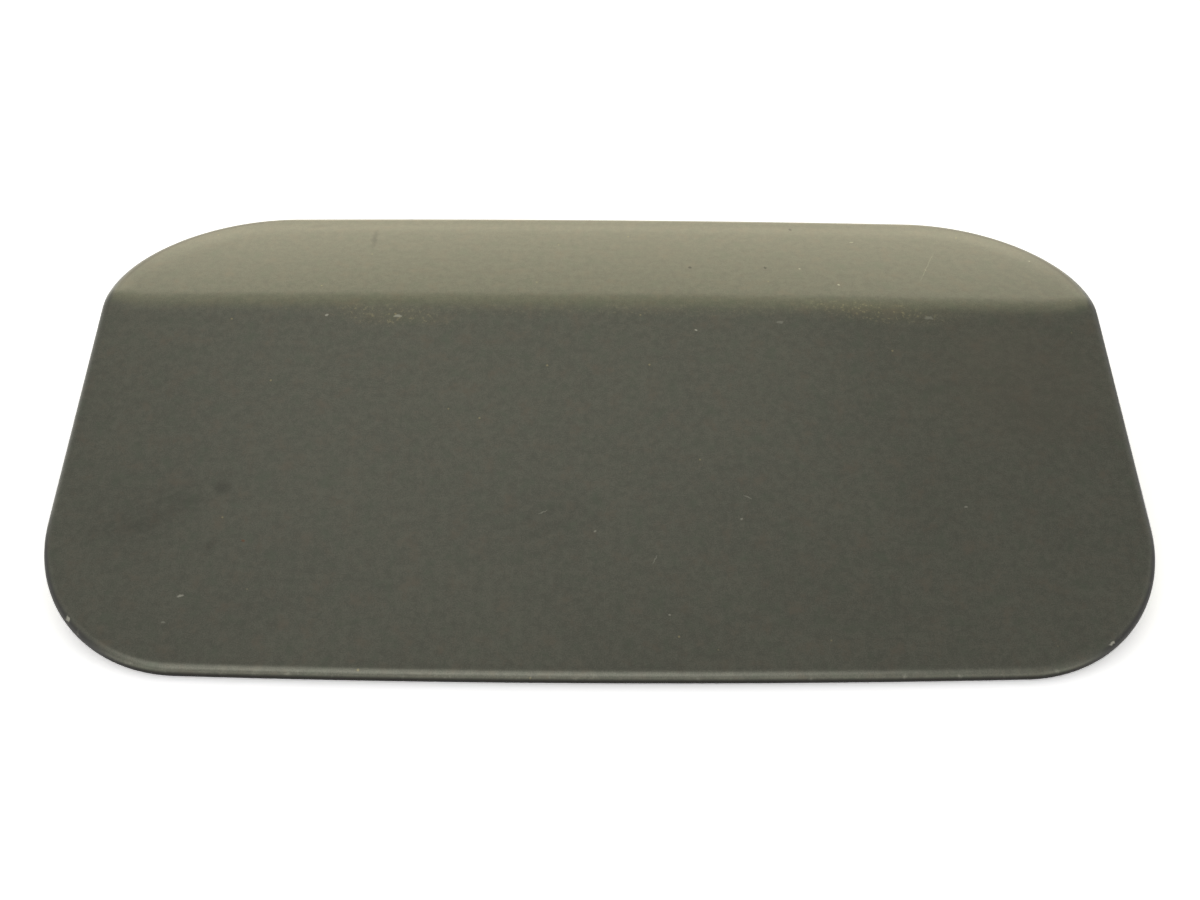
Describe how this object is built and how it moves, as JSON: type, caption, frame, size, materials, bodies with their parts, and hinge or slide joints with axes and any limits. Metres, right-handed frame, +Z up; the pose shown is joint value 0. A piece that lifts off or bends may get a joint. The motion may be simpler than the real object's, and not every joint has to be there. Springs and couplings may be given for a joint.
{
  "type": "car fuel door",
  "caption": "Painted car fuel door: creased sheet-steel skin hemmed round a pressed inner panel, with an over-centre side hinge, latch striker and rubber buffers, lying face up.",
  "frame": {"origin": "point on the ground below the middle of the door's box, as the door lies on its back", "axes": "+X across the door towards the hinge, +Y towards the creased far edge, +Z up, out of the painted face"},
  "size_m": [0.21, 0.1164, 0.0288],
  "materials": {
    "body_paint": "worn grey-olive metallic paint, satin",
    "inner_primer": "thin body colour over primer, dull",
    "black_steel": "black coated pressed steel",
    "zinc_plate": "dull zinc plate",
    "zinc_steel": "plated rivet steel",
    "pin_steel": "plain turned steel",
    "spring_steel": "oiled dark spring steel",
    "nylon": "natural nylon",
    "buffer_rubber": "matte black rubber"
  },
  "bodies": {
    "hinge_base": {"hinge_base": "zinc_plate", "hinge_pin": "pin_steel", "pin_clip": "spring_steel", "hinge_spring": "spring_steel"},
    "door": {"outer_skin": "body_paint", "inner_panel": "inner_primer", "hinge_leaf": "black_steel", "leaf_rivets": "zinc_steel", "bush_near": "nylon", "bush_far": "nylon", "striker": "zinc_plate", "striker_rivets": "zinc_steel", "buffer_near": "buffer_rubber", "buffer_far": "buffer_rubber"}
  },
  "joints": [
    {"name": "door_swing", "type": "hinge", "parent": "hinge_base", "child": "door", "pos_m": [0.072, 0.01196, 0.0124], "axis": [0, 0.9483, 0.3173], "range_deg": [0, 90], "deforming": ["hinge_spring"]}
  ]
}
